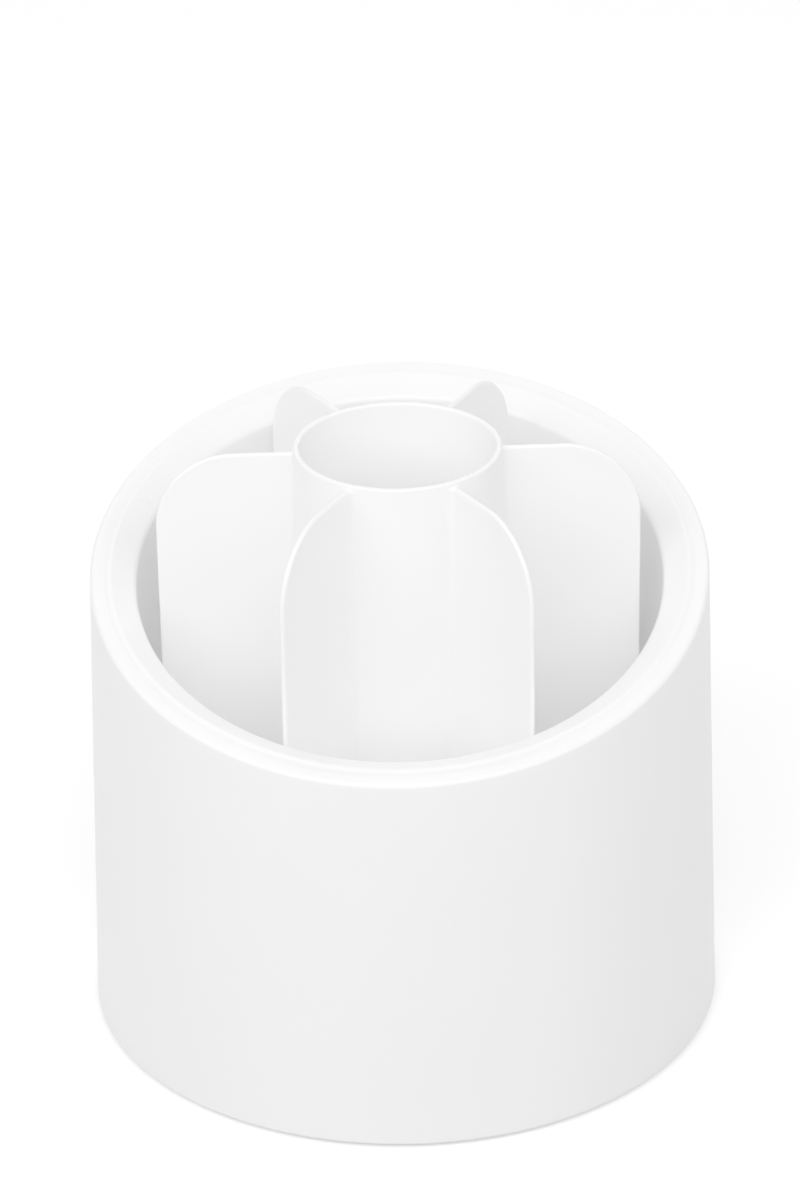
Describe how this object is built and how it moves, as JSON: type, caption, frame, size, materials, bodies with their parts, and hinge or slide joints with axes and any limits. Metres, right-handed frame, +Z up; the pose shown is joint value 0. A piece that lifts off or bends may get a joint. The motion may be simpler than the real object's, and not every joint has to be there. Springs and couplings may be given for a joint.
{
  "type": "rotating brush holder",
  "caption": "Round white brush pot with a slanted rim and a lift-out star divider of a centre tube and radial fins, turning on a ball-bearing base with rubber pads.",
  "frame": {"origin": "centre of the table face under the foot pads", "axes": "+Z up along the turning axis; the rim's low side faces -Y and its high side +Y; +X to the right seen from the low side"},
  "size_m": [0.126, 0.126, 0.12],
  "materials": {
    "shell_white": "satin gloss, moulded",
    "cup_white": "satin gloss, moulded",
    "divider_white": "satin gloss, moulded",
    "base_white": "fine matt, moulded",
    "cage_nylon": "natural nylon",
    "ball_steel": "polished bearing steel",
    "screw_steel": "zinc plated",
    "pad_rubber": "matt"
  },
  "bodies": {
    "base": {"base_plate": "base_white", "pivot_washer": "screw_steel", "pivot_screw": "screw_steel", "foot_pad_1": "pad_rubber", "foot_pad_2": "pad_rubber", "foot_pad_3": "pad_rubber", "foot_pad_4": "pad_rubber", "foot_pad_5": "pad_rubber"},
    "ball_ring": {"ball_cage": "cage_nylon", "bearing_ball_01": "ball_steel", "bearing_ball_02": "ball_steel", "bearing_ball_03": "ball_steel", "bearing_ball_04": "ball_steel", "bearing_ball_05": "ball_steel", "bearing_ball_06": "ball_steel", "bearing_ball_07": "ball_steel", "bearing_ball_08": "ball_steel", "bearing_ball_09": "ball_steel", "bearing_ball_10": "ball_steel", "bearing_ball_11": "ball_steel", "bearing_ball_12": "ball_steel"},
    "pot": {"outer_shell": "shell_white", "inner_cup": "cup_white", "rotor_plate": "base_white", "rotor_screws": "screw_steel"},
    "divider": {"divider": "divider_white"}
  },
  "joints": [
    {"name": "pot_spin", "type": "hinge", "parent": "base", "child": "pot", "pos_m": [0, 0, 0.0054], "axis": [0, 0, 1], "continuous": true},
    {"name": "ball_ring_spin", "type": "hinge", "parent": "base", "child": "ball_ring", "pos_m": [0, 0, 0.0054], "axis": [0, 0, 1], "continuous": true},
    {"name": "divider_lift", "type": "slide", "parent": "pot", "child": "divider", "axis": [0, 0, 1], "range_m": [0, 0.1]}
  ],
  "couplings": [
    {"joint": "ball_ring_spin", "follows": "pot_spin", "ratio": 0.5}
  ]
}
